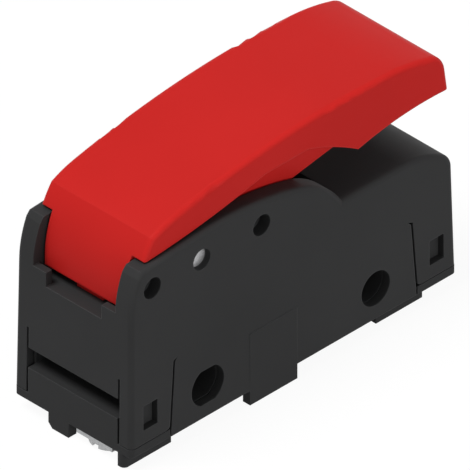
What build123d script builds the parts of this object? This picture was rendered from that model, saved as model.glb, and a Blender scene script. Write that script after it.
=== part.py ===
from build123d import *
import math
import os

# Micro switch with a broad hinged press lever, in millimetres.
# Pieces are drawn in a case frame: x runs from the pivot end to the free end, y is
# measured from the middle plane and z from the bottom edge of the case. At the end
# they are placed so that the origin is the centre of the round mounting hole.

# Case
body_length = 49.24
body_width = 17.7
wall = 1.1
side_draft = 0.65
free_end_draft = 1.2
edge_radius = 0.6
joint_gap = 0.1

# Mounting holes
hole_pitch = 25.4
slot_from_end = 11.65
hole_height = 3.88
hole_radius = 2.15
slot_radius = 2.45
slot_flat_half = 2.2

# Top of the case
ear_curve_start = 17.7
ear_front_x = 1.27
ear_front_z = 22.75
ear_top_x = 1.85
ear_top_z = 23.4
crest_start_x = 11.0
crest_start_z = 23.93
shoulder_from_valley = 6.45
shoulder_z = 22.35
valley_from_end = 16.79
ledge_z = 17.6
ledge_round = 7.7
ledge_round_length = 6.4
ledge_end_drop = 1.95
valley_drop = 0.15
corner_inset = 0.4
corner_drop = 3.4

# Lever bay
ear_wall = 2.63
bay_end_past_valley = 0.3
bay_floor_z = 16.0
roof_thickness = 1.2
hold_rib = 1.2
first_rib_inset = 0.8
last_rib_inset = 0.4
guide_ring_wall = 1.1
guide_ring_height = 0.8
front_ledge_z = 17.8
notch_front_y = -4.15
notch_back_y = 4.25

# Corner tabs and latches
tab_length = 6.0
tab_bottom_z = 1.1
slit_width = 0.28
slit_lean = 0.65
slit_top_z = 9.5
slit_hook = 0.5
tab_corner = 0.7
end_slit_from_side = 1.82
panel_bottom_z = 6.86
window_from_end = 1.9
window_width = 2.15
window_low_z = 2.8
window_high_z = 5.95
latch_recess = 0.8
latch_slope = 0.6

# Side tab below the bottom edge
side_tab_from = 18.0
side_tab_to = 25.16
side_tab_drop = 1.9

# Base
base_top_z = 7.4
base_floor = 1.6
base_end_wall_z = 4.3
groove_back_x = 2.9
well_half_length = 5.4
well_half_width = 5.6
support_from_x = 7.4
support_gap = 0.62
support_margin = 0.3
spigot_half = 0.53
spigot_height = 1.5
screw_well_top_z = 3.3
screw_well_gap = 0.25
foot_drop = 1.77
foot_inset = 1.06
foot_width = 0.98
near_foot_length = 7.1
far_foot_start = 4.16
far_foot_length = 6.99
key_drop = 1.9
key_thickness = 1.2
key_from_y = 0.63
key_to_y = 3.68
key_chamfer = 0.6

# Lever
lever_inset = 1.02
lever_bay_gap = 0.22
pivot_x = 10.95
pivot_z = 20.62
top_crest_x = 32.8
top_crest_z = 30.07
top_radius = 117.5
bow_from_end = 8.65
bow_radius = 27.0
brow_x = 7.6
brow_front_x = 4.35
brow_front_z = 26.17
heel_x = 1.78
heel_curve_z = 18.6
heel_bottom_z = 17.3
skirt_front_x = 2.72
skirt_front_z = 23.64
skirt_rise_x = 12.4
skirt_rise_z = 24.57
arch_from_x = 21.4
arch_from_end = 21.25
arch_z = 26.22
dip_way_from_end = 17.25
dip_way_z = 24.5
dip_from_end = 13.75
dip_z = 22.47
nose_way_from_end = 7.55
nose_way_z = 23.5
nose_z = 23.58
lever_end_gap = 0.09
lever_end_lean = 8.2
lever_end_corner = 2.85
skirt_corner = 0.4
end_face_tilt = 21.5
lever_edge_radius = 0.62
heel_flat_to_x = 12.5
web_knee_from_end = 22.35
web_knee_z = 21.8
web_from_end = 14.65
web_end_z = 23.03
lever_skin = 1.7
lever_web = 1.2
lever_end_wall = 1.4
lever_rib = 1.2
heel_rib = (16.0, 21.6)
end_ribs = ((14.95, 24.7), (8.15, 25.4))
spine_low_z = 25.9
boss_radius = 3.0
boss_width = 0.7
stop_setback = 0.9
stop_length = 1.8
stop_half_width = 2.0
stop_gap = 0.05

# Pivot pin and the row of side holes
pin_radius = 1.2
pin_running_gap = 0.05
side_hole_radius = 1.3
side_hole_depth = 1.0
blind_hole_depth = 1.8
blind_hole_before = 7.5
blind_hole_after = 9.03

# Plunger
plunger_radius = 2.0
plunger_top_z = 20.4
tip_chamfer = 0.45
plunger_gap = 0.1
guide_gap = 0.06
collar_radius = 3.5
collar_thickness = 1.1
collar_gap = 0.3
tail_half = 1.3
tail_bottom_z = 6.2
nub_half_width = 2.2
nub_radius = 0.8

# Contact bridge, contacts and springs
contact_offset = 6.6
contact_gap = 1.0
closed_gap = 0.03
contact_half_length = 1.3
contact_half_width = 0.9
contact_height = 0.5
stake_half = 0.5
bridge_thickness = 0.6
bridge_half_width = 2.4
bridge_window_gap = 0.25
bridge_end_margin = 2.2
spring_wire = 0.35
return_spring_radius = 1.1
lower_spring_radius = 3.5
upper_spring_radius = 2.75
return_spring_turns = 2
lower_spring_turns = 2
upper_spring_turns = 2

# Terminals
strip_thickness = 0.8
strip_width = 5.0
strip_gap = 0.05
leg_x = 6.4
near_foot_x = 0.35
far_foot_x = 1.4
contact_pad_half = 1.6
pad_reach_y = 1.9
screw_y = 3.05
near_screw_x = 2.86
far_screw_x = 3.95
screw_radius = 1.45
head_radius = 2.5
head_height = 0.75
slot_width = 0.85
slot_depth = 0.45
screw_length = 3.6
clamp_thickness = 0.7
clamp_length = 5.3
clamp_width = 5.4
clamp_hole_gap = 0.15

# Derived places
middle_x = body_length / 2
half_width = body_width / 2
inner_half = half_width - wall
bay_half = half_width - ear_wall
valley_x = body_length - valley_from_end
shoulder_x = valley_x - shoulder_from_valley
base_half = inner_half - joint_gap
roof_under_z = bay_floor_z - roof_thickness
ledge_under_z = ledge_z - roof_thickness
bay_end_x = valley_x + bay_end_past_valley
hole_x = slot_from_end + hole_pitch
open_contact_z = base_top_z + strip_thickness + contact_height
bridge_low_z = open_contact_z + contact_gap + contact_height
bridge_high_z = bridge_low_z + bridge_thickness
closed_contact_z = bridge_high_z + contact_height + closed_gap
closed_strip_z = closed_contact_z + contact_height
low_strip_top_z = base_top_z + strip_thickness
high_strip_top_z = closed_strip_z + strip_thickness
strip_outer_y = screw_y + strip_width / 2
strip_inner_y = screw_y - strip_width / 2
contact_x = middle_x - contact_offset
support_to_x = contact_x - bridge_end_margin - support_gap
hold_rib_xs = (support_from_x + first_rib_inset, support_to_x - hold_rib - last_rib_inset)
blind_hole_xs = (pivot_x - blind_hole_before, pivot_x + blind_hole_after)
collar_top_z = roof_under_z - collar_gap
collar_low_z = collar_top_z - collar_thickness
guide_top_z = bay_floor_z + guide_ring_height
nub_centre_z = plunger_top_z + plunger_gap + nub_radius
lever_half = half_width - lever_inset
lever_inner_half = bay_half - lever_bay_gap
lever_end_x = body_length - lever_end_gap
arch_to_x = lever_end_x - arch_from_end
dip_way_x = lever_end_x - dip_way_from_end
dip_x = lever_end_x - dip_from_end
nose_way_x = lever_end_x - nose_way_from_end
web_knee_x = lever_end_x - web_knee_from_end
web_end_x = lever_end_x - web_from_end
bow_x = lever_end_x - bow_from_end
top_centre_z = top_crest_z - top_radius
bow_angle = math.asin((bow_x - top_crest_x) / top_radius)
bow_centre_x = bow_x - bow_radius * math.sin(bow_angle)
bow_centre_z = top_centre_z + (top_radius - bow_radius) * math.cos(bow_angle)
stop_x = heel_x + stop_setback
end_panel_half = half_width - end_slit_from_side - slit_width

# How far cutting shapes run past a surface, and how far joined ones run into it
past = 2.0
lap = 0.01


def block(x_from, x_to, y_from, y_to, z_from, z_to):
    centre = ((x_from + x_to) / 2, (y_from + y_to) / 2, (z_from + z_to) / 2)
    return Pos(*centre) * Box(x_to - x_from, y_to - y_from, z_to - z_from)


def prism(outline, y_from, y_to):
    face = Plane.XZ * make_face(outline)
    return Pos(0, y_to, 0) * extrude(face, y_to - y_from)


def cross_bar(x, z, radius, y_from, y_to):
    return Pos(x, (y_from + y_to) / 2, z) * Rot(90, 0, 0) * Cylinder(radius, y_to - y_from)


def post(x, y, radius, z_from, z_to):
    return Pos(x, y, (z_from + z_to) / 2) * Cylinder(radius, z_to - z_from)


def square_post(x, y, half, z_from, z_to):
    return block(x - half, x + half, y - half, y + half, z_from, z_to)


def both_sides(shape):
    return shape + mirror(shape, Plane.XZ)


def turned_end(shape):
    return Pos(body_length, 0, 0) * Rot(0, 0, 180) * shape


def both_ends(shape):
    return shape + turned_end(shape)


def lean(height, angle):
    return height * math.tan(math.radians(angle))


def upper_rim(side):
    # The edges of a side face, without the one it stands on.
    lowest = side.bounding_box().min.Z
    return [edge for edge in side.edges() if edge.center().Z > lowest + edge_radius]


def round_upright(solid, x, y):
    edge = solid.edges().filter_by(Axis.Z).sort_by_distance((x, y, 0))[0]
    return fillet(edge, edge_radius)


# Case

def draft_prism(height):
    section = Polyline(
        (-half_width, 0),
        (half_width, 0),
        (half_width - lean(height, side_draft), height),
        (lean(height, side_draft) - half_width, height),
        close=True,
    )
    return extrude(Plane.YZ * make_face(section), body_length + 1)


def hump_block():
    ear_x = lean(ear_curve_start, side_draft)
    ear_curve = TangentArc(
        (ear_x, ear_curve_start),
        (ear_front_x, ear_front_z),
        tangent=(ear_x, ear_curve_start),
    )
    ear_top = Line((ear_top_x, ear_top_z), (crest_start_x, crest_start_z))
    crest = TangentArc(
        (crest_start_x, crest_start_z),
        (shoulder_x, shoulder_z),
        tangent=ear_top % 1,
    )
    shoulder = TangentArc(
        (shoulder_x, shoulder_z),
        (valley_x, ledge_z - valley_drop),
        tangent=crest % 1,
    )
    outline = [
        Line((0, 0), (ear_x, ear_curve_start)),
        ear_curve,
        Line((ear_front_x, ear_front_z), (ear_top_x, ear_top_z)),
        ear_top,
        crest,
        shoulder,
        Line((valley_x, ledge_z - valley_drop), (valley_x, 0)),
        Line((valley_x, 0), (0, 0)),
    ]
    # Each half leans in by the side draft about its own lower edge, so its rim stays round.
    half = prism(outline, -half_width, past)
    half = fillet(upper_rim(half.faces().sort_by(Axis.Y)[0]), edge_radius)
    half = Pos(0, -half_width, 0) * Rot(-side_draft, 0, 0) * Pos(0, half_width, 0) * half
    return both_sides(half & block(-past, valley_x, -half_width - past, 0, 0, ear_top_z + past))


def ledge_block():
    round_x = body_length - ledge_round
    round_end = (round_x + ledge_round_length, ledge_z - ledge_end_drop)
    corner = (body_length - corner_inset, ledge_z - corner_drop)
    rounding = TangentArc((round_x, ledge_z), round_end, tangent=(1, 0))
    outline = [
        Line((tab_length, 0), (tab_length, ledge_z)),
        Line((tab_length, ledge_z), (round_x, ledge_z)),
        rounding,
        TangentArc(round_end, corner, tangent=rounding % 1),
        Line(corner, (body_length, 0)),
        Line((body_length, 0), (tab_length, 0)),
    ]
    solid = prism(outline, -half_width, half_width) & draft_prism(ledge_z + past)
    sides = solid.faces().sort_by(Axis.Y)
    return fillet(upper_rim(sides[0]) + upper_rim(sides[-1]), edge_radius)


def tab_cut():
    # One side slit with its hook, and the wall below the corner tab.
    half = slit_width / 2
    high_x = tab_length + slit_lean
    slit = Polyline(
        (tab_length - half, tab_bottom_z - lap),
        (tab_length + half, tab_bottom_z - lap),
        (high_x + half, slit_top_z),
        (high_x + half + slit_hook, slit_top_z + slit_hook),
        (high_x - half, slit_top_z + half),
        close=True,
    )
    cut = prism(slit, -half_width - past, -inner_half + lap)
    tab_end = tab_length + joint_gap
    cut += block(-past, tab_end, -half_width - past, -inner_half + lap, -past, tab_bottom_z)
    corner_x = tab_length - tab_corner
    corner_z = tab_bottom_z + tab_corner
    corner = block(
        corner_x, tab_length, -half_width - past, -inner_half + lap, tab_bottom_z - lap, corner_z
    )
    return cut + (corner - cross_bar(corner_x, corner_z, tab_corner, -half_width - past, 0))


def window_cut():
    return block(
        window_from_end,
        window_from_end + window_width,
        -half_width - past,
        -inner_half + lap,
        window_low_z,
        window_high_z,
    )


def end_wall_cut():
    # The opening for the base's end wall, and the two slits beside the panel above it.
    slit_y = half_width - end_slit_from_side
    cut = block(-past, wall + lap, -slit_y, slit_y, -past, panel_bottom_z)
    cut += block(-past, wall + lap, -half_width - past, half_width + past, -past, tab_bottom_z)
    slit = block(-past, wall + lap, -slit_y, slit_y, panel_bottom_z - lap, slit_top_z)
    return cut + slit - block(
        -past, wall + past, -end_panel_half, end_panel_half, panel_bottom_z, slit_top_z + past
    )


def slot_bar(y_from, y_to):
    bar = cross_bar(slot_from_end, hole_height, slot_radius, y_from, y_to)
    return bar & block(
        slot_from_end - slot_radius,
        slot_from_end + slot_radius,
        y_from,
        y_to,
        hole_height - slot_flat_half,
        hole_height + slot_flat_half,
    )


def chamber_void():
    # The space inside the case, its ceiling following the step beyond the lever bay.
    end_x = body_length - wall
    high_x = end_x - lean(ledge_z, free_end_draft)
    step_x = bay_end_x + wall
    outline = Polyline(
        (wall, -past),
        (end_x, -past),
        (end_x, base_top_z + joint_gap),
        (high_x, ledge_z - corner_drop - wall),
        (high_x - wall, ledge_under_z - ledge_end_drop),
        (body_length - ledge_round, ledge_under_z),
        (step_x, ledge_under_z),
        (step_x, roof_under_z),
        (wall, roof_under_z),
        close=True,
    )
    return prism(outline, -inner_half, inner_half)


def bay_void():
    bay = block(wall, bay_end_x, -bay_half, bay_half, bay_floor_z, ear_top_z + past)
    bay += block(-past, wall + lap, -bay_half, bay_half, front_ledge_z, ear_top_z + past)
    bay += block(-past, wall + lap, notch_front_y, notch_back_y, bay_floor_z, front_ledge_z + lap)
    return bay


def hold_down_ribs(ceiling_z):
    # Ribs under the roof that hold the two terminal strips of one end on their seats.
    ribs = []
    for x in hold_rib_xs:
        end = x + hold_rib
        top = ceiling_z + lap
        ribs.append(block(x, end, -strip_outer_y, -strip_inner_y, high_strip_top_z, top))
        ribs.append(block(x, end, strip_inner_y, strip_outer_y, low_strip_top_z, top))
    return ribs


def side_hole(x, depth):
    return cross_bar(x, pivot_z, side_hole_radius, -half_width - past, depth - half_width)


def make_housing():
    side_tab = block(
        side_tab_from, side_tab_to, -half_width, -inner_half, -side_tab_drop, base_top_z
    )
    shell = hump_block() + ledge_block() + both_sides(side_tab)
    shell = shell - chamber_void() - bay_void()
    guide_radius = plunger_radius + guide_gap
    shell += post(middle_x, 0, guide_radius + guide_ring_wall, roof_under_z, guide_top_z)
    shell -= post(middle_x, 0, guide_radius, roof_under_z - past, guide_top_z + past)
    shell -= cross_bar(pivot_x, pivot_z, pin_radius, -half_width - past, half_width + past)
    shell -= both_sides(side_hole(pivot_x, side_hole_depth))
    for x in blind_hole_xs:
        shell -= both_sides(side_hole(x, blind_hole_depth))
    shell -= cross_bar(hole_x, hole_height, hole_radius, -half_width - past, half_width + past)
    shell -= slot_bar(-half_width - past, half_width + past)
    for cut in (tab_cut(), window_cut()):
        shell -= both_ends(both_sides(cut))
    shell -= both_ends(end_wall_cut())
    for rib in hold_down_ribs(roof_under_z):
        shell += rib
    for rib in hold_down_ribs(ledge_under_z):
        shell += turned_end(rib)
    return shell


# Base

def latch_nose():
    # A wedge that stands in the tab's window, sloping back towards its top.
    face_y = half_width - latch_recess
    low_z = window_low_z + joint_gap
    high_z = window_high_z - joint_gap
    profile = Polyline(
        (-base_half + lap, low_z),
        (-face_y, low_z),
        (-face_y, high_z - latch_slope),
        (-inner_half, high_z),
        (-base_half + lap, high_z),
        close=True,
    )
    nose = extrude(Plane.YZ * make_face(profile), window_width - 2 * joint_gap)
    return Pos(window_from_end + joint_gap, 0, 0) * nose


def corner_flange():
    # The rim that the corner tab stands on, running round to the end wall.
    top_z = tab_bottom_z - joint_gap
    flange = block(0, tab_length - joint_gap, -half_width, -base_half + lap, 0, top_z)
    flange = round_upright(flange, 0, -half_width)
    corner = block(0, wall + joint_gap + lap, -half_width, -end_panel_half + lap, 0, top_z)
    return flange + round_upright(corner, 0, -half_width)


def foot(x_from, x_to):
    outer_y = foot_inset - half_width
    return block(x_from, x_to, outer_y, outer_y + foot_width, -foot_drop, 0)


def feet():
    far_end = body_length - far_foot_start
    near_foot = round_upright(foot(0, near_foot_length), 0, foot_inset - half_width)
    return near_foot + foot(far_end - far_foot_length, far_end)


def wiring_key():
    outline = Polyline(
        (key_from_y, 0),
        (key_from_y, -key_drop),
        (key_to_y - key_chamfer, -key_drop),
        (key_to_y, key_chamfer - key_drop),
        (key_to_y, 0),
        close=True,
    )
    return extrude(Plane.YZ * make_face(outline), key_thickness)


def strip_support():
    # Raised seat for the upper terminal strip.
    return block(
        support_from_x,
        support_to_x,
        support_margin - strip_outer_y,
        -strip_inner_y - support_margin,
        base_top_z - lap,
        closed_strip_z,
    )


def strip_channel(foot_x, y_from, y_to):
    # Pocket for the foot of a terminal strip and the slot its leg rises through.
    low_y = y_from - strip_gap
    high_y = y_to + strip_gap
    leg_end = leg_x + strip_thickness + strip_gap
    channel = block(foot_x - strip_gap, leg_end, low_y, high_y, -past, strip_thickness)
    return channel + block(leg_x - strip_gap, leg_end, low_y, high_y, 0, base_top_z + past)


def screw_well(x, y):
    return square_post(x, y, screw_radius + screw_well_gap, 0, screw_well_top_z)


def make_base():
    margin = wall + joint_gap
    core = block(margin, body_length - margin, -base_half, base_half, 0, base_top_z)
    end_wall = block(0, margin + lap, -end_panel_half, end_panel_half, 0, base_end_wall_z)
    base = core + both_ends(end_wall + wiring_key() + strip_support() + feet())
    for piece in (corner_flange(), latch_nose()):
        base += both_ends(both_sides(piece))
    base -= block(
        middle_x - well_half_length,
        middle_x + well_half_length,
        -well_half_width,
        well_half_width,
        base_floor,
        base_top_z + past,
    )
    base += square_post(middle_x, 0, spigot_half, base_floor - lap, base_floor + spigot_height)
    base -= cross_bar(hole_x, hole_height, hole_radius, -half_width - past, half_width + past)
    base -= slot_bar(-half_width - past, half_width + past)
    groove = block(
        0, groove_back_x, -end_panel_half, end_panel_half, base_end_wall_z, panel_bottom_z
    )
    near_channel = strip_channel(near_foot_x, -strip_outer_y, -strip_inner_y)
    far_channel = strip_channel(far_foot_x, strip_inner_y, strip_outer_y)
    for cut in (groove, near_channel, far_channel):
        base -= both_ends(cut)
    for cut in (screw_well(near_screw_x, -screw_y), screw_well(far_screw_x, screw_y)):
        base -= both_ends(cut)
    return base


# Lever

def top_arc_z(x):
    return top_centre_z + math.sqrt(top_radius**2 - (x - top_crest_x) ** 2)


def end_top_corner():
    # Where the leaning end face meets the arc that bends down to it.
    angle = math.radians(lever_end_lean)
    from_x = lever_end_x - bow_centre_x
    from_z = nose_z - bow_centre_z
    along = from_z * math.cos(angle) - from_x * math.sin(angle)
    rise = math.sqrt(along**2 + bow_radius**2 - from_x**2 - from_z**2) - along
    return lever_end_x - rise * math.sin(angle), nose_z + rise * math.cos(angle)


def lever_profile():
    brow_z = top_arc_z(brow_x)
    brow_slope = (top_crest_x - brow_x) / (brow_z - top_centre_z)
    bow = (bow_x, top_arc_z(bow_x))
    end_top = end_top_corner()
    outline = [
        TangentArc((heel_x, heel_curve_z), (brow_front_x, brow_front_z), tangent=(0, 1)),
        TangentArc(
            (brow_x, brow_z), (brow_front_x, brow_front_z), tangent=(-1, -brow_slope)
        ),
        ThreePointArc((brow_x, brow_z), (top_crest_x, top_crest_z), bow),
        TangentArc(bow, end_top, tangent=(1, -math.tan(bow_angle))),
        Line(end_top, (lever_end_x, nose_z)),
        Line((lever_end_x, nose_z), (lever_end_x, heel_bottom_z)),
        Line((lever_end_x, heel_bottom_z), (heel_x, heel_bottom_z)),
        Line((heel_x, heel_bottom_z), (heel_x, heel_curve_z)),
    ]
    profile = prism(outline, -lever_half, lever_half)
    return fillet(across_edge(profile, *end_top), lever_end_corner)


def above_skirt():
    high_z = top_crest_z + past
    outline = [
        Line((0, skirt_front_z), (skirt_front_x, skirt_front_z)),
        ThreePointArc(
            (skirt_front_x, skirt_front_z), (skirt_rise_x, skirt_rise_z), (arch_from_x, arch_z)
        ),
        Line((arch_from_x, arch_z), (arch_to_x, arch_z)),
        ThreePointArc((arch_to_x, arch_z), (dip_way_x, dip_way_z), (dip_x, dip_z)),
        ThreePointArc((dip_x, dip_z), (nose_way_x, nose_way_z), (lever_end_x, nose_z)),
        Line((lever_end_x, nose_z), (body_length, nose_z)),
        Line((body_length, nose_z), (body_length, high_z)),
        Line((body_length, high_z), (0, high_z)),
        Line((0, high_z), (0, skirt_front_z)),
    ]
    return prism(outline, -lever_half, lever_half)


def above_webs():
    outline = Polyline(
        (0, heel_bottom_z),
        (heel_flat_to_x, heel_bottom_z),
        (web_knee_x, web_knee_z),
        (web_end_x, web_end_z),
        (web_end_x, top_crest_z),
        (0, top_crest_z),
        close=True,
    )
    return prism(outline, -lever_inner_half, lever_inner_half)


def lever_hollow():
    # Narrow between the webs, wide under the free end.
    inner_x = heel_x + lever_end_wall
    front_top = (brow_front_x + lever_end_wall, brow_front_z - lever_skin)
    shoulder = (brow_x, top_arc_z(brow_x) - lever_skin)
    end_top_x, end_top_z = end_top_corner()
    end = (end_top_x - lever_skin, end_top_z - lever_skin)
    bow = (bow_x, top_arc_z(bow_x) - lever_skin)
    low_z = heel_bottom_z - past
    outline = [
        TangentArc((inner_x, heel_curve_z), front_top, tangent=(0, 1)),
        Line(front_top, shoulder),
        ThreePointArc(shoulder, (top_crest_x, top_crest_z - lever_skin), bow),
        TangentArc(bow, end, tangent=(1, -math.tan(bow_angle))),
        Line(end, (end[0], low_z)),
        Line((end[0], low_z), (inner_x, low_z)),
        Line((inner_x, low_z), (inner_x, heel_curve_z)),
    ]
    wide_half = lever_half - lever_skin
    wide = prism(outline, -wide_half, wide_half)
    wide &= block(web_end_x, body_length, -wide_half, wide_half, low_z, top_crest_z)
    return prism(outline, lever_web - lever_inner_half, lever_inner_half - lever_web) + wide


def across_edge(solid, x, z):
    return solid.edges().filter_by(Axis.Y).sort_by_distance((x, 0, z))[0]


def corner_cut(x, z, outward, tilt):
    # What is cut away to round a lower corner under an end face that leans back by tilt.
    angle = math.radians(tilt)
    centre_z = z + skirt_corner
    centre_x = x - outward * (skirt_corner * math.tan(angle) + skirt_corner / math.cos(angle))
    away_x = centre_x + outward * (skirt_corner + past)
    low_x = min(centre_x, away_x)
    high_x = max(centre_x, away_x)
    tangent_z = centre_z + skirt_corner * math.sin(angle)
    corner = block(low_x, high_x, -lever_half - past, lever_half + past, z - past, tangent_z)
    round_bar = cross_bar(centre_x, centre_z, skirt_corner, -lever_half - past, lever_half + past)
    return corner - round_bar


def rim_edges(cap):
    # The side edges of the top and of both end faces, without the skirt's lower edge.
    sides = cap.faces().sort_by(Axis.Y)
    rim = []
    for edge in sides[0].edges() + sides[-1].edges():
        place = edge.center()
        at_end = place.X < brow_x or place.X > lever_end_x - lever_end_corner
        above_lower_edge = place.Z > skirt_front_z + lever_edge_radius
        if (at_end and above_lower_edge) or place.Z > arch_z + lever_edge_radius:
            rim.append(edge)
    return rim


def lever_cap(profile):
    cap = profile & above_skirt()
    cap = fillet(rim_edges(cap), lever_edge_radius)
    cap -= corner_cut(skirt_front_x, skirt_front_z, -1, end_face_tilt)
    return cap - corner_cut(lever_end_x, nose_z, 1, lever_end_lean)


def lever_ribs(profile):
    ribs = block(
        middle_x,
        lever_end_x - lever_skin,
        -lever_rib / 2,
        lever_rib / 2,
        spine_low_z,
        top_crest_z,
    )
    cross_ribs = [heel_rib] + [(lever_end_x - from_end, low_z) for from_end, low_z in end_ribs]
    for x, low_z in cross_ribs:
        ribs += block(x, x + lever_rib, -lever_inner_half, lever_inner_half, low_z, top_crest_z)
    ribs += cross_bar(middle_x, nub_centre_z, nub_radius, -nub_half_width, nub_half_width)
    ribs += block(
        middle_x - nub_radius,
        middle_x + nub_radius,
        -nub_half_width,
        nub_half_width,
        nub_centre_z,
        top_crest_z,
    )
    return ribs & profile


def make_lever():
    profile = lever_profile()
    lever = lever_cap(profile) + (profile & above_webs()) - lever_hollow()
    web_inner = lever_inner_half - lever_web
    boss = cross_bar(pivot_x, pivot_z, boss_radius, -web_inner - lap, boss_width - web_inner)
    lever += both_sides(boss) + lever_ribs(profile)
    lever += block(
        stop_x,
        stop_x + stop_length,
        -stop_half_width,
        stop_half_width,
        bay_floor_z + stop_gap,
        heel_curve_z,
    )
    bore_radius = pin_radius + pin_running_gap
    return lever - cross_bar(pivot_x, pivot_z, bore_radius, -lever_half, lever_half)


def make_pivot_pin():
    half = half_width - side_hole_depth
    return cross_bar(pivot_x, pivot_z, pin_radius, -half, half)


# Plunger and contact bridge

def make_plunger():
    stem = post(middle_x, 0, plunger_radius, collar_top_z, plunger_top_z)
    stem = chamfer(stem.edges().sort_by(Axis.Z)[-1], tip_chamfer)
    collar = post(middle_x, 0, collar_radius, collar_low_z, collar_top_z)
    return stem + collar + square_post(middle_x, 0, tail_half, tail_bottom_z, collar_low_z)


def coil(radius, z_from, z_to, turns):
    height = z_to - z_from - spring_wire
    path = Helix(height / turns, height, radius)
    start = Plane(origin=path @ 0, x_dir=(1, 0, 0), z_dir=path % 0)
    wire = sweep(start * Rectangle(spring_wire, spring_wire), path=path, is_frenet=True)
    return Pos(middle_x, 0, z_from + spring_wire / 2) * wire


def make_contact_bridge():
    reach = contact_offset + bridge_end_margin
    bridge = block(
        middle_x - reach,
        middle_x + reach,
        -bridge_half_width,
        bridge_half_width,
        bridge_low_z,
        bridge_high_z,
    )
    low_z = bridge_low_z - past
    high_z = bridge_high_z + past
    bridge -= square_post(middle_x, 0, tail_half + bridge_window_gap, low_z, high_z)
    return bridge - both_ends(stake(low_z, high_z))


def stake(z_from, z_to):
    # The square shank that holds a contact in its strip, and the hole for it.
    return square_post(contact_x, 0, stake_half, z_from, z_to)


def contact_bar(x_half, y_half, z_from, z_to):
    return block(contact_x - x_half, contact_x + x_half, -y_half, y_half, z_from, z_to)


def make_bridge_contact():
    # One bar on each face of the bridge, lying along it.
    length, width = contact_half_length, contact_half_width
    contact = contact_bar(length, width, bridge_low_z - contact_height, bridge_low_z)
    contact += contact_bar(length, width, bridge_high_z, bridge_high_z + contact_height)
    return contact + stake(bridge_low_z, bridge_high_z)


# Terminals

def make_terminal(foot_x, screw_x, side, top_z):
    # side is -1 for the strip in front of the middle plane and 1 for the one behind it.
    outer_y = side * strip_outer_y
    inner_y = side * strip_inner_y
    low_y = min(outer_y, inner_y)
    high_y = max(outer_y, inner_y)
    pad_y = -side * pad_reach_y
    under_z = top_z - strip_thickness
    strip = block(foot_x, leg_x + strip_thickness, low_y, high_y, 0, strip_thickness)
    strip += block(leg_x, leg_x + strip_thickness, low_y, high_y, 0, top_z)
    strip += block(leg_x, contact_x + contact_pad_half, low_y, high_y, under_z, top_z)
    strip += block(
        contact_x - contact_pad_half,
        contact_x + contact_pad_half,
        min(outer_y, pad_y),
        max(outer_y, pad_y),
        under_z,
        top_z,
    )
    strip -= square_post(screw_x, side * screw_y, screw_radius, -past, strip_thickness + past)
    return strip - stake(under_z - past, top_z + past)


def make_fixed_contact(strip_low_z, face_z):
    # A bar on the strip, lying across the bridge's own.
    strip_high_z = strip_low_z + strip_thickness
    if face_z > strip_high_z:
        button_from, button_to = strip_high_z, face_z
    else:
        button_from, button_to = face_z, strip_low_z
    bar = contact_bar(contact_half_width, contact_half_length, button_from, button_to)
    return bar + stake(strip_low_z, strip_high_z)


def make_clamp(x, y):
    clamp = block(
        x - clamp_length / 2,
        x + clamp_length / 2,
        y - clamp_width / 2,
        y + clamp_width / 2,
        -clamp_thickness,
        0,
    )
    hole_half = screw_radius + clamp_hole_gap
    return clamp - square_post(x, y, hole_half, -clamp_thickness - past, past)


def make_screw(x, y):
    head_low_z = -clamp_thickness - head_height
    screw = post(x, y, head_radius, head_low_z, -clamp_thickness)
    screw += post(x, y, screw_radius, -clamp_thickness, screw_length - clamp_thickness)
    return screw - block(
        x - head_radius,
        x + head_radius,
        y - slot_width / 2,
        y + slot_width / 2,
        head_low_z - past,
        head_low_z + slot_depth,
    )


nodes = {
    "housing": make_housing(),
    "base": make_base(),
    "lever": make_lever(),
    "pivot_pin": make_pivot_pin(),
    "plunger": make_plunger(),
    "return_spring": coil(return_spring_radius, base_floor, tail_bottom_z, return_spring_turns),
    "bridge_spring_lower": coil(lower_spring_radius, base_floor, bridge_low_z, lower_spring_turns),
    "bridge_spring_upper": coil(upper_spring_radius, bridge_high_z, collar_low_z, upper_spring_turns),
    "contact_bridge": make_contact_bridge(),
}
near_pieces = {
    "bridge_contact": make_bridge_contact(),
    "terminal_closed": make_terminal(near_foot_x, near_screw_x, -1, high_strip_top_z),
    "terminal_open": make_terminal(far_foot_x, far_screw_x, 1, low_strip_top_z),
    "contact_closed": make_fixed_contact(closed_strip_z, closed_contact_z),
    "contact_open": make_fixed_contact(base_top_z, open_contact_z),
    "clamp_closed": make_clamp(near_screw_x, -screw_y),
    "clamp_open": make_clamp(far_screw_x, screw_y),
    "screw_closed": make_screw(near_screw_x, -screw_y),
    "screw_open": make_screw(far_screw_x, screw_y),
}
for name, shape in near_pieces.items():
    nodes[name + "_near"] = shape
    nodes[name + "_far"] = turned_end(shape)

os.makedirs("parts", exist_ok=True)
for name, shape in nodes.items():
    export_step(Pos(-hole_x, 0, -hole_height) * shape, f"parts/{name}.step")
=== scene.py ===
import math

import bpy
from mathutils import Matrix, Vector


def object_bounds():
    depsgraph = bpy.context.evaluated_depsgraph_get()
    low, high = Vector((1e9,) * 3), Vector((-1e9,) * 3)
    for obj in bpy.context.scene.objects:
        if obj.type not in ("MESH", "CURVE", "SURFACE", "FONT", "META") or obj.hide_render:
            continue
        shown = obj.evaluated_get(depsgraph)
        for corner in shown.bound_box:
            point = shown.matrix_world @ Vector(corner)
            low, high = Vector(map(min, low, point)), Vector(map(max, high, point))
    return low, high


# Micro switch: finishes, light and camera, in metres

# Camera
PICTURE_PIXELS = 470
PIXELS_PER_M = 9348
VIEW_CENTRE = (-0.012491, 0.0, 0.008855)
VIEW_DIRECTION = (1, 1, -1)
CAMERA_DISTANCE = 0.4
CLIP_NEAR = 0.01
CLIP_FAR = 3

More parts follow.
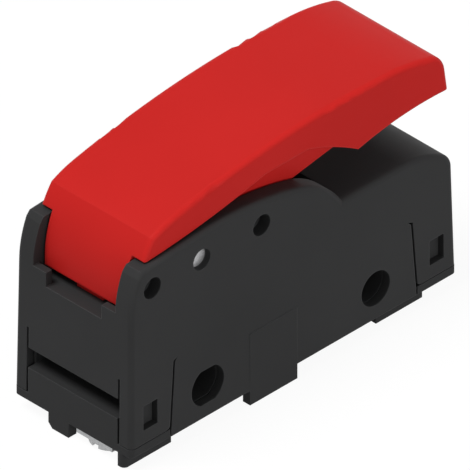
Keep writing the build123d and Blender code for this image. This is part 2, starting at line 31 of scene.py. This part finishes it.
# Floor and background
FLOOR_SIZE = 1.6
FLOOR_DROP = 0.00005
FLOOR_COLOUR = (0.4, 0.4, 0.4)
FLOOR_ROUGHNESS = 0.9
# A seen floor is mostly glow. The strength makes up for the share that is lit, so lit floor shows as white.
FLOOR_GLOW_SHARE = 0.8
FLOOR_GLOW_STRENGTH = 1.17
SKY_LIGHT = 0.3
SKY_SEEN = 1.0

# Suns: direction of the light, strength and angle in degrees
KEY_SUN = ((0.28, -0.1, -0.65), 2.03, 25)
FILL_SUN = ((0.0, 1, -0.05), 1.45, 30)

# Surfaces
SMOOTH_ANGLE = math.radians(32)
RAMP_ENDS = (0.35, 0.65)
EDGE_SAMPLES = 6
EDGE_FLAT_DOT = 1.0
EDGE_SHARP_DOT = 0.8
FLOW_SCALE = 55
PLASTIC_SHEEN_SCALE = 420
PLASTIC_SHEEN_SPREAD = (-0.05, 0.07)
PLASTIC_BUMP = 0.35
METAL_SHEEN_SCALE = 900
METAL_SHEEN_SPREAD = (-0.06, 0.1)
METAL_BUMP = 0.3
METAL_EDGE_RADIUS = 0.00008
EVEN_GRAIN = (1, 1, 1)
ROLLED_GRAIN = (0.06, 1, 1)

# Colour sockets of a mix node
MIX_FIRST = 6
MIX_SECOND = 7
MIX_RESULT = 2

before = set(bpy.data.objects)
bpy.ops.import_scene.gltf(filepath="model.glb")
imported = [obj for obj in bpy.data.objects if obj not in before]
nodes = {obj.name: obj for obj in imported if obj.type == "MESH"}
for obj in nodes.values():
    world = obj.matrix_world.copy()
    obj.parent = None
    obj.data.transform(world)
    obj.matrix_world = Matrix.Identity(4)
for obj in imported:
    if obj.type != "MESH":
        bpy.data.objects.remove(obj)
cad_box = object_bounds()


# Shader helpers

class Shader:
    def __init__(self, name):
        self.material = bpy.data.materials.new(name)
        self.material.use_nodes = True
        self.tree = self.material.node_tree
        self.tree.nodes.clear()
        self.output = self.add("ShaderNodeOutputMaterial")
        self.bsdf = self.add("ShaderNodeBsdfPrincipled")
        self.link(self.bsdf, "BSDF", self.output, "Surface")

    def add(self, kind, **settings):
        # A setting is a property of the node or, failing that, the value of its input.
        node = self.tree.nodes.new(kind)
        for key, value in settings.items():
            if hasattr(node, key):
                setattr(node, key, value)
            else:
                node.inputs[key.replace("_", " ")].default_value = value
        return node

    def link(self, source, socket, target, name):
        self.tree.links.new(source.outputs[socket], target.inputs[name])

    def noise(self, scale, detail, roughness=0.5, stretch=EVEN_GRAIN):
        place = self.add("ShaderNodeTexCoord")
        mapping = self.add("ShaderNodeMapping", Scale=stretch)
        self.link(place, "Object", mapping, "Vector")
        noise = self.add("ShaderNodeTexNoise", Scale=scale, Detail=detail, Roughness=roughness)
        self.link(mapping, "Vector", noise, "Vector")
        return noise

    def ramp(self, noise, low, high):
        ramp = self.add("ShaderNodeValToRGB")
        for element, place, colour in zip(ramp.color_ramp.elements, RAMP_ENDS, (low, high)):
            element.position = place
            element.color = (*colour, 1)
        self.link(noise, "Fac", ramp, "Fac")
        return ramp

    def sheen(self, scale, detail, roughness, spread):
        change = self.add("ShaderNodeMapRange", To_Min=roughness + spread[0], To_Max=roughness + spread[1])
        self.link(self.noise(scale, detail), "Fac", change, "Value")
        self.link(change, "Result", self.bsdf, "Roughness")

    def rounded(self, radius):
        return self.add("ShaderNodeBevel", samples=EDGE_SAMPLES, Radius=radius)

    def highlight_edge_mask(self, bevel):
        # 0 on a flat face, rising to 1 on a sharp edge.
        normal = self.add("ShaderNodeNewGeometry")
        dot = self.add("ShaderNodeVectorMath", operation="DOT_PRODUCT")
        self.link(bevel, "Normal", dot, 0)
        self.link(normal, "Normal", dot, 1)
        mask = self.add("ShaderNodeMapRange", From_Min=EDGE_FLAT_DOT, From_Max=EDGE_SHARP_DOT)
        self.link(dot, "Value", mask, "Value")
        return mask

    def grain_bump(self, noise, strength, depth, bevel):
        bump = self.add("ShaderNodeBump", Strength=strength, Distance=depth)
        self.link(noise, "Fac", bump, "Height")
        self.link(bevel, "Normal", bump, "Normal")
        self.link(bump, "Normal", self.bsdf, "Normal")


def plastic(name, colour, tint, edge_highlight_colour, roughness, gloss, grain, grain_depth, edge_radius):
    # Moulded plastic: faint flow in the colour, spark-eroded grain and edges painted lighter as a
    # highlight.
    s = Shader(name)
    body = s.ramp(s.noise(FLOW_SCALE, 3), colour, tint)
    bevel = s.rounded(edge_radius)
    mix = s.add("ShaderNodeMix", data_type="RGBA")
    # Sharp edges blend to a lighter colour: a painted highlight.
    s.link(s.highlight_edge_mask(bevel), "Result", mix, "Factor")
    s.link(body, "Color", mix, MIX_FIRST)
    mix.inputs[MIX_SECOND].default_value = (*edge_highlight_colour, 1)
    s.link(mix, MIX_RESULT, s.bsdf, "Base Color")
    s.sheen(PLASTIC_SHEEN_SCALE, 3, roughness, PLASTIC_SHEEN_SPREAD)
    s.grain_bump(s.noise(grain, 2), PLASTIC_BUMP, grain_depth, bevel)
    s.bsdf.inputs["Specular IOR Level"].default_value = gloss
    return s.material


def metal(name, colour, tint, roughness, grain, grain_depth, stretch=EVEN_GRAIN):
    # Drawn, rolled, ground or plated metal: its grain shows in the colour and the bump.
    s = Shader(name)
    fine = s.noise(grain, 4, 0.6, stretch)
    s.link(s.ramp(fine, colour, tint), "Color", s.bsdf, "Base Color")
    s.sheen(METAL_SHEEN_SCALE, 2, roughness, METAL_SHEEN_SPREAD)
    s.grain_bump(fine, METAL_BUMP, grain_depth, s.rounded(METAL_EDGE_RADIUS))
    s.bsdf.inputs["Metallic"].default_value = 1.0
    return s.material


# Finishes

case = plastic(
    "case",
    colour=(0.0370, 0.0373, 0.0379),
    tint=(0.0405, 0.0408, 0.0414),
    edge_highlight_colour=(0.075, 0.076, 0.078),
    roughness=0.5,
    gloss=0.06,
    grain=9000,
    grain_depth=0.000012,
    edge_radius=0.00018,
)
base = plastic(
    "base",
    colour=(0.0355, 0.0358, 0.0364),
    tint=(0.0385, 0.0388, 0.0394),
    edge_highlight_colour=(0.068, 0.069, 0.071),
    roughness=0.52,
    gloss=0.06,
    grain=9000,
    grain_depth=0.000012,
    edge_radius=0.00014,
)
red = plastic(
    "lever_red",
    colour=(0.61, 0.0205, 0.0180),
    tint=(0.64, 0.0220, 0.0195),
    edge_highlight_colour=(0.74, 0.04, 0.036),
    roughness=0.4,
    gloss=0.045,
    grain=7000,
    grain_depth=0.00001,
    edge_radius=0.0003,
)
natural = plastic(
    "plunger_natural",
    colour=(0.62, 0.58, 0.48),
    tint=(0.68, 0.64, 0.54),
    edge_highlight_colour=(0.76, 0.73, 0.66),
    roughness=0.4,
    gloss=0.3,
    grain=9000,
    grain_depth=0.000008,
    edge_radius=0.0001,
)
ground = metal("pin_steel", (0.5, 0.5, 0.51), (0.62, 0.62, 0.63), 0.5, 5000, 0.000005)
wire = metal("spring_wire", (0.42, 0.42, 0.43), (0.52, 0.52, 0.53), 0.25, 6000, 0.000003)
copper = metal("bridge_copper", (0.62, 0.3, 0.17), (0.7, 0.37, 0.22), 0.3, 5000, 0.000004, ROLLED_GRAIN)
brass = metal("terminal_brass", (0.62, 0.45, 0.2), (0.7, 0.53, 0.26), 0.33, 5000, 0.000004, ROLLED_GRAIN)
silver = metal("contact_silver", (0.72, 0.71, 0.68), (0.8, 0.79, 0.76), 0.22, 6000, 0.000003)
zinc = metal("zinc", (0.36, 0.365, 0.37), (0.44, 0.445, 0.45), 0.42, 4000, 0.000006)

# The first row whose word starts a piece's name gives its finish.
finishes = [
    ("housing", case),
    ("base", base),
    ("lever", red),
    ("plunger", natural),
    ("pivot_pin", ground),
    ("return_spring", wire),
    ("bridge_spring", wire),
    ("contact_bridge", copper),
    ("bridge_contact", silver),
    ("contact_", silver),
    ("terminal", brass),
    ("clamp", zinc),
    ("screw", zinc),
]


def smooth(piece):
    for polygon in piece.data.polygons:
        polygon.use_smooth = True
    bpy.context.view_layer.objects.active = piece
    piece.select_set(True)
    bpy.ops.object.shade_auto_smooth(angle=SMOOTH_ANGLE)
    piece.select_set(False)


for name, piece in nodes.items():
    piece.data.materials.clear()
    piece.data.materials.append(next(finish for word, finish in finishes if name.startswith(word)))
    smooth(piece)


# Floor, light and camera

def seen_rays(tree):
    # 1 on the rays that show the background: straight, mirrored or through something clear.
    path = tree.nodes.new("ShaderNodeLightPath")
    last = path.outputs["Is Camera Ray"]
    for ray in ("Is Glossy Ray", "Is Transmission Ray"):
        either = tree.nodes.new("ShaderNodeMath")
        either.operation = "MAXIMUM"
        tree.links.new(last, either.inputs[0])
        tree.links.new(path.outputs[ray], either.inputs[1])
        last = either.outputs["Value"]
    return last


def floor_material():
    # Shows as white where it is lit and keeps the object's faint shadow.
    s = Shader("floor")
    s.bsdf.inputs["Base Color"].default_value = (*FLOOR_COLOUR, 1)
    s.bsdf.inputs["Roughness"].default_value = FLOOR_ROUGHNESS
    s.bsdf.inputs["Specular IOR Level"].default_value = 0.0
    glow = s.add("ShaderNodeEmission", Strength=FLOOR_GLOW_STRENGTH)
    share = s.add("ShaderNodeMath", operation="MULTIPLY")
    share.inputs[1].default_value = FLOOR_GLOW_SHARE
    s.tree.links.new(seen_rays(s.tree), share.inputs[0])
    mix = s.add("ShaderNodeMixShader")
    s.link(s.bsdf, "BSDF", mix, 1)
    s.link(glow, "Emission", mix, 2)
    s.link(mix, "Shader", s.output, "Surface")
    s.link(share, "Value", mix, "Fac")
    return s.material


def make_floor():
    low = cad_box[0][2] - FLOOR_DROP
    bpy.ops.mesh.primitive_plane_add(size=FLOOR_SIZE, location=(0, 0, low))
    floor = bpy.context.object
    floor.name = "floor"
    floor.data.materials.append(floor_material())


def make_world():
    world = bpy.data.worlds.new("world")
    bpy.context.scene.world = world
    world.use_nodes = True
    tree = world.node_tree
    background = tree.nodes["Background"]
    background.inputs["Color"].default_value = (1, 1, 1, 1)
    strength = tree.nodes.new("ShaderNodeMapRange")
    strength.inputs["To Min"].default_value = SKY_LIGHT
    strength.inputs["To Max"].default_value = SKY_SEEN
    tree.links.new(seen_rays(tree), strength.inputs["Value"])
    tree.links.new(strength.outputs["Result"], background.inputs["Strength"])


def aimed(name, data, direction):
    # An object that looks along the given direction.
    thing = bpy.data.objects.new(name, data)
    thing.rotation_mode = "QUATERNION"
    thing.rotation_quaternion = Vector(direction).to_track_quat("-Z", "Y")
    bpy.context.scene.collection.objects.link(thing)
    return thing


def make_sun(name, direction, strength, angle):
    light = bpy.data.lights.new(name, "SUN")
    light.energy = strength
    light.angle = math.radians(angle)
    aimed(name, light, direction)


def make_camera():
    data = bpy.data.cameras.new("camera")
    data.type = "ORTHO"
    data.ortho_scale = PICTURE_PIXELS / PIXELS_PER_M
    data.clip_start = CLIP_NEAR
    data.clip_end = CLIP_FAR
    look = Vector(VIEW_DIRECTION).normalized()
    camera = aimed("camera", data, look)
    camera.location = Vector(VIEW_CENTRE) - look * CAMERA_DISTANCE
    bpy.context.scene.camera = camera


make_floor()
make_world()
make_sun("key", *KEY_SUN)
make_sun("fill", *FILL_SUN)
make_camera()
bpy.context.scene.view_settings.view_transform = "Standard"
